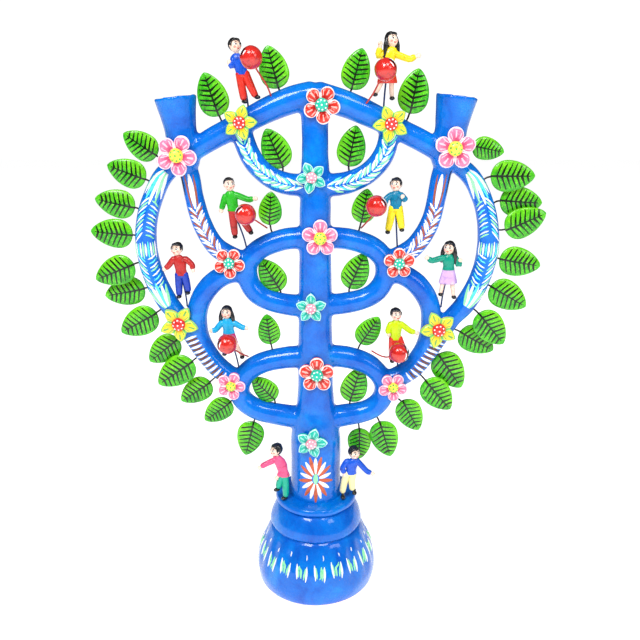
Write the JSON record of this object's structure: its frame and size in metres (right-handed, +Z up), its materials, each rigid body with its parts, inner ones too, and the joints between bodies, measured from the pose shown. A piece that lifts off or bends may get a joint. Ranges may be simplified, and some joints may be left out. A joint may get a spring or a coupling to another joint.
{
  "type": "clay tree of life candelabra",
  "caption": "Hand-built clay tree of life: bell foot, trunk, coiled arms with candle cups, flowers, and leaves, dolls and balls on springy wires.",
  "frame": {"origin": "centre of the foot's underside", "axes": "+Z up the trunk, +X to the right of the tree as seen from its painted front, which faces -Y"},
  "size_m": [0.3963, 0.118, 0.5074],
  "materials": {
    "blue_clay": "gloss",
    "leaf_green": "gloss",
    "ball_red": "gloss",
    "doll_paint": "gloss"
  },
  "bodies": {
    "tree": {"foot": "blue_clay", "trunk": "blue_clay", "crown_branch_left": "blue_clay", "crown_branch_right": "blue_clay", "middle_loop_left": "blue_clay", "middle_loop_right": "blue_clay", "lower_loop_left": "blue_clay", "lower_loop_right": "blue_clay", "inner_arm_left": "blue_clay", "inner_arm_right": "blue_clay", "outer_arm_left": "blue_clay", "outer_arm_right": "blue_clay", "candle_cup_left": "blue_clay", "candle_cup_right": "blue_clay", "doll_9_boy": "doll_paint", "doll_10_boy": "doll_paint"},
    "leaf_crown_1": {"leaf_crown_1": "leaf_green"},
    "leaf_crown_2": {"leaf_crown_2": "leaf_green"},
    "leaf_crown_3": {"leaf_crown_3": "leaf_green"},
    "leaf_crown_4": {"leaf_crown_4": "leaf_green"},
    "leaf_left_1": {"leaf_left_1": "leaf_green"},
    "leaf_left_2": {"leaf_left_2": "leaf_green"},
    "leaf_left_3": {"leaf_left_3": "leaf_green"},
    "leaf_left_4": {"leaf_left_4": "leaf_green"},
    "leaf_left_5": {"leaf_left_5": "leaf_green"},
    "leaf_left_6": {"leaf_left_6": "leaf_green"},
    "leaf_left_7": {"leaf_left_7": "leaf_green"},
    "leaf_left_8": {"leaf_left_8": "leaf_green"},
    "leaf_left_9": {"leaf_left_9": "leaf_green"},
    "leaf_left_10": {"leaf_left_10": "leaf_green"},
    "leaf_left_11": {"leaf_left_11": "leaf_green"},
    "leaf_left_12": {"leaf_left_12": "leaf_green"},
    "leaf_right_1": {"leaf_right_1": "leaf_green"},
    "leaf_right_2": {"leaf_right_2": "leaf_green"},
    "leaf_right_3": {"leaf_right_3": "leaf_green"},
    "leaf_right_4": {"leaf_right_4": "leaf_green"},
    "leaf_right_5": {"leaf_right_5": "leaf_green"},
    "leaf_right_6": {"leaf_right_6": "leaf_green"},
    "leaf_right_7": {"leaf_right_7": "leaf_green"},
    "leaf_right_8": {"leaf_right_8": "leaf_green"},
    "leaf_right_9": {"leaf_right_9": "leaf_green"},
    "leaf_right_10": {"leaf_right_10": "leaf_green"},
    "leaf_right_11": {"leaf_right_11": "leaf_green"},
    "leaf_right_12": {"leaf_right_12": "leaf_green"},
    "leaf_right_13": {"leaf_right_13": "leaf_green"},
    "ball_1": {"ball_1": "ball_red"},
    "ball_2": {"ball_2": "ball_red"},
    "ball_3": {"ball_3": "ball_red"},
    "ball_4": {"ball_4": "ball_red"},
    "ball_5": {"ball_5": "ball_red"},
    "ball_6": {"ball_6": "ball_red"},
    "doll_1_boy": {"doll_1_boy": "doll_paint"},
    "doll_2_girl": {"doll_2_girl": "doll_paint"},
    "doll_3_boy": {"doll_3_boy": "doll_paint"},
    "doll_4_boy": {"doll_4_boy": "doll_paint"},
    "doll_5_boy": {"doll_5_boy": "doll_paint"},
    "doll_6_girl": {"doll_6_girl": "doll_paint"},
    "doll_7_girl": {"doll_7_girl": "doll_paint"},
    "doll_8_boy": {"doll_8_boy": "doll_paint"}
  },
  "joints": [
    {"name": "leaf_crown_1_spring", "type": "hinge", "parent": "tree", "child": "leaf_crown_1", "pos_m": [-0.07845, 0, 0.44083], "axis": [-0.9565, 0, -0.2917], "range_deg": [-6, 6], "stiffness_Nm_per_rad": 0.035},
    {"name": "leaf_crown_2_spring", "type": "hinge", "parent": "tree", "child": "leaf_crown_2", "pos_m": [-0.02968, 0, 0.4651], "axis": [-0.9792, 0, -0.2029], "range_deg": [-6, 6], "stiffness_Nm_per_rad": 0.035},
    {"name": "leaf_crown_3_spring", "type": "hinge", "parent": "tree", "child": "leaf_crown_3", "pos_m": [0.02966, 0, 0.46406], "axis": [-0.9789, 0, 0.2045], "range_deg": [-6, 6], "stiffness_Nm_per_rad": 0.035},
    {"name": "leaf_crown_4_spring", "type": "hinge", "parent": "tree", "child": "leaf_crown_4", "pos_m": [0.07676, 0, 0.44128], "axis": [-0.9758, 0, 0.2188], "range_deg": [-6, 6], "stiffness_Nm_per_rad": 0.035},
    {"name": "leaf_left_1_spring", "type": "hinge", "parent": "tree", "child": "leaf_left_1", "pos_m": [-0.12936, 0, 0.40668], "axis": [-0.6076, 0, -0.7943], "range_deg": [-6, 6], "stiffness_Nm_per_rad": 0.035},
    {"name": "leaf_left_2_spring", "type": "hinge", "parent": "tree", "child": "leaf_left_2", "pos_m": [-0.14277, 0, 0.39087], "axis": [-0.3305, 0, -0.9438], "range_deg": [-6, 6], "stiffness_Nm_per_rad": 0.035},
    {"name": "leaf_left_3_spring", "type": "hinge", "parent": "tree", "child": "leaf_left_3", "pos_m": [-0.15375, 0, 0.36725], "axis": [-0.194, 0, -0.981], "range_deg": [-6, 6], "stiffness_Nm_per_rad": 0.035},
    {"name": "leaf_left_4_spring", "type": "hinge", "parent": "tree", "child": "leaf_left_4", "pos_m": [-0.15821, 0, 0.34383], "axis": [-0.0807, 0, -0.9967], "range_deg": [-6, 6], "stiffness_Nm_per_rad": 0.035},
    {"name": "leaf_left_5_spring", "type": "hinge", "parent": "tree", "child": "leaf_left_5", "pos_m": [-0.15684, 0, 0.31937], "axis": [0, 1, 0], "range_deg": [-3, 3], "stiffness_Nm_per_rad": 0.035},
    {"name": "leaf_left_6_spring", "type": "hinge", "parent": "tree", "child": "leaf_left_6", "pos_m": [-0.15065, 0, 0.29634], "axis": [0, 1, 0], "range_deg": [-3, 3], "stiffness_Nm_per_rad": 0.035},
    {"name": "leaf_left_7_spring", "type": "hinge", "parent": "tree", "child": "leaf_left_7", "pos_m": [-0.14026, 0, 0.27593], "axis": [0.5008, 0, -0.8656], "range_deg": [-6, 6], "stiffness_Nm_per_rad": 0.035},
    {"name": "leaf_left_8_spring", "type": "hinge", "parent": "tree", "child": "leaf_left_8", "pos_m": [-0.12172, 0, 0.24957], "axis": [0, 1, 0], "range_deg": [-3, 3], "stiffness_Nm_per_rad": 0.035},
    {"name": "leaf_left_9_spring", "type": "hinge", "parent": "tree", "child": "leaf_left_9", "pos_m": [-0.11009, 0, 0.22972], "axis": [0, 1, 0], "range_deg": [-3, 3], "stiffness_Nm_per_rad": 0.035},
    {"name": "leaf_left_10_spring", "type": "hinge", "parent": "tree", "child": "leaf_left_10", "pos_m": [-0.09392, 0, 0.21009], "axis": [0, 1, 0], "range_deg": [-3, 3], "stiffness_Nm_per_rad": 0.035},
    {"name": "leaf_left_11_spring", "type": "hinge", "parent": "tree", "child": "leaf_left_11", "pos_m": [-0.07887, 0, 0.18665], "axis": [0.5727, 0, -0.8198], "range_deg": [-6, 6], "stiffness_Nm_per_rad": 0.035},
    {"name": "leaf_left_12_spring", "type": "hinge", "parent": "tree", "child": "leaf_left_12", "pos_m": [-0.05774, 0, 0.16751], "axis": [0.9734, 0, -0.2291], "range_deg": [-6, 6], "stiffness_Nm_per_rad": 0.035},
    {"name": "leaf_right_1_spring", "type": "hinge", "parent": "tree", "child": "leaf_right_1", "pos_m": [0.12644, 0, 0.42082], "axis": [0.1595, 0, 0.9872], "range_deg": [-6, 6], "stiffness_Nm_per_rad": 0.035},
    {"name": "leaf_right_2_spring", "type": "hinge", "parent": "tree", "child": "leaf_right_2", "pos_m": [0.1453, 0, 0.39245], "axis": [-0.1199, 0, 0.9928], "range_deg": [-6, 6], "stiffness_Nm_per_rad": 0.035},
    {"name": "leaf_right_3_spring", "type": "hinge", "parent": "tree", "child": "leaf_right_3", "pos_m": [0.15518, 0, 0.37234], "axis": [0, 1, 0], "range_deg": [-3, 3], "stiffness_Nm_per_rad": 0.035},
    {"name": "leaf_right_4_spring", "type": "hinge", "parent": "tree", "child": "leaf_right_4", "pos_m": [0.16103, 0, 0.34865], "axis": [0, 1, 0], "range_deg": [-3, 3], "stiffness_Nm_per_rad": 0.035},
    {"name": "leaf_right_5_spring", "type": "hinge", "parent": "tree", "child": "leaf_right_5", "pos_m": [0.16071, 0, 0.32333], "axis": [0.1349, 0, 0.9909], "range_deg": [-6, 6], "stiffness_Nm_per_rad": 0.035},
    {"name": "leaf_right_6_spring", "type": "hinge", "parent": "tree", "child": "leaf_right_6", "pos_m": [0.15476, 0, 0.29881], "axis": [0.4446, 0, 0.8957], "range_deg": [-6, 6], "stiffness_Nm_per_rad": 0.035},
    {"name": "leaf_right_7_spring", "type": "hinge", "parent": "tree", "child": "leaf_right_7", "pos_m": [0.1433, 0, 0.2763], "axis": [0, 1, 0], "range_deg": [-3, 3], "stiffness_Nm_per_rad": 0.035},
    {"name": "leaf_right_8_spring", "type": "hinge", "parent": "tree", "child": "leaf_right_8", "pos_m": [0.12705, 0, 0.25714], "axis": [0, 1, 0], "range_deg": [-3, 3], "stiffness_Nm_per_rad": 0.035},
    {"name": "leaf_right_9_spring", "type": "hinge", "parent": "tree", "child": "leaf_right_9", "pos_m": [0.11266, 0, 0.2328], "axis": [0, 1, 0], "range_deg": [-3, 3], "stiffness_Nm_per_rad": 0.035},
    {"name": "leaf_right_10_spring", "type": "hinge", "parent": "tree", "child": "leaf_right_10", "pos_m": [0.09782, 0, 0.2126], "axis": [0, 1, 0], "range_deg": [-3, 3], "stiffness_Nm_per_rad": 0.035},
    {"name": "leaf_right_11_spring", "type": "hinge", "parent": "tree", "child": "leaf_right_11", "pos_m": [0.07315, 0, 0.19032], "axis": [0.7772, 0, 0.6293], "range_deg": [-6, 6], "stiffness_Nm_per_rad": 0.035},
    {"name": "leaf_right_12_spring", "type": "hinge", "parent": "tree", "child": "leaf_right_12", "pos_m": [0.05779, 0, 0.17014], "axis": [0.9436, 0, 0.3312], "range_deg": [-6, 6], "stiffness_Nm_per_rad": 0.035},
    {"name": "leaf_right_13_spring", "type": "hinge", "parent": "tree", "child": "leaf_right_13", "pos_m": [0.04063, 0, 0.16336], "axis": [0, 1, 0], "range_deg": [-3, 3], "stiffness_Nm_per_rad": 0.035},
    {"name": "ball_1_spring", "type": "hinge", "parent": "tree", "child": "ball_1", "pos_m": [-0.0346, -0.01064, 0.448], "axis": [0, 1, 0], "range_deg": [-4, 4], "stiffness_Nm_per_rad": 0.03},
    {"name": "ball_2_spring", "type": "hinge", "parent": "tree", "child": "ball_2", "pos_m": [0.0357, -0.01095, 0.451], "axis": [0, 1, 0], "range_deg": [-4, 4], "stiffness_Nm_per_rad": 0.03},
    {"name": "ball_3_spring", "type": "hinge", "parent": "tree", "child": "ball_3", "pos_m": [-0.0296, -0.00903, 0.344], "axis": [0, 1, 0], "range_deg": [-4, 4], "stiffness_Nm_per_rad": 0.03},
    {"name": "ball_4_spring", "type": "hinge", "parent": "tree", "child": "ball_4", "pos_m": [0.0352, -0.0081, 0.345], "axis": [0, 1, 0], "range_deg": [-4, 4], "stiffness_Nm_per_rad": 0.03},
    {"name": "ball_5_spring", "type": "hinge", "parent": "tree", "child": "ball_5", "pos_m": [-0.0425, -0.00917, 0.232], "axis": [0, 1, 0], "range_deg": [-4, 4], "stiffness_Nm_per_rad": 0.03},
    {"name": "ball_6_spring", "type": "hinge", "parent": "tree", "child": "ball_6", "pos_m": [0.04224, -0.0069, 0.23485], "axis": [0, 1, 0], "range_deg": [-4, 4], "stiffness_Nm_per_rad": 0.03},
    {"name": "doll_1_boy_spring", "type": "hinge", "parent": "tree", "child": "doll_1_boy", "pos_m": [-0.05531, 0, 0.45311], "axis": [1, 0, 0], "range_deg": [-4, 4], "stiffness_Nm_per_rad": 0.12},
    {"name": "doll_2_girl_spring", "type": "hinge", "parent": "tree", "child": "doll_2_girl", "pos_m": [0.05681, 0, 0.45151], "axis": [1, 0, 0], "range_deg": [-4, 4], "stiffness_Nm_per_rad": 0.12},
    {"name": "doll_3_boy_spring", "type": "hinge", "parent": "tree", "child": "doll_3_boy", "pos_m": [-0.06039, 0, 0.33519], "axis": [1, 0, 0], "range_deg": [-4, 4], "stiffness_Nm_per_rad": 0.12},
    {"name": "doll_4_boy_spring", "type": "hinge", "parent": "tree", "child": "doll_4_boy", "pos_m": [0.07199, 0, 0.33482], "axis": [1, 0, 0], "range_deg": [-4, 4], "stiffness_Nm_per_rad": 0.12},
    {"name": "doll_5_boy_spring", "type": "hinge", "parent": "tree", "child": "doll_5_boy", "pos_m": [-0.11545, 0, 0.28179], "axis": [1, 0, 0], "range_deg": [-4, 4], "stiffness_Nm_per_rad": 0.12},
    {"name": "doll_6_girl_spring", "type": "hinge", "parent": "tree", "child": "doll_6_girl", "pos_m": [0.11312, 0, 0.2811], "axis": [1, 0, 0], "range_deg": [-4, 4], "stiffness_Nm_per_rad": 0.12},
    {"name": "doll_7_girl_spring", "type": "hinge", "parent": "tree", "child": "doll_7_girl", "pos_m": [-0.07093, 0, 0.22193], "axis": [1, 0, 0], "range_deg": [-4, 4], "stiffness_Nm_per_rad": 0.12},
    {"name": "doll_8_boy_spring", "type": "hinge", "parent": "tree", "child": "doll_8_boy", "pos_m": [0.0761, 0, 0.22271], "axis": [1, 0, 0], "range_deg": [-4, 4], "stiffness_Nm_per_rad": 0.12}
  ]
}
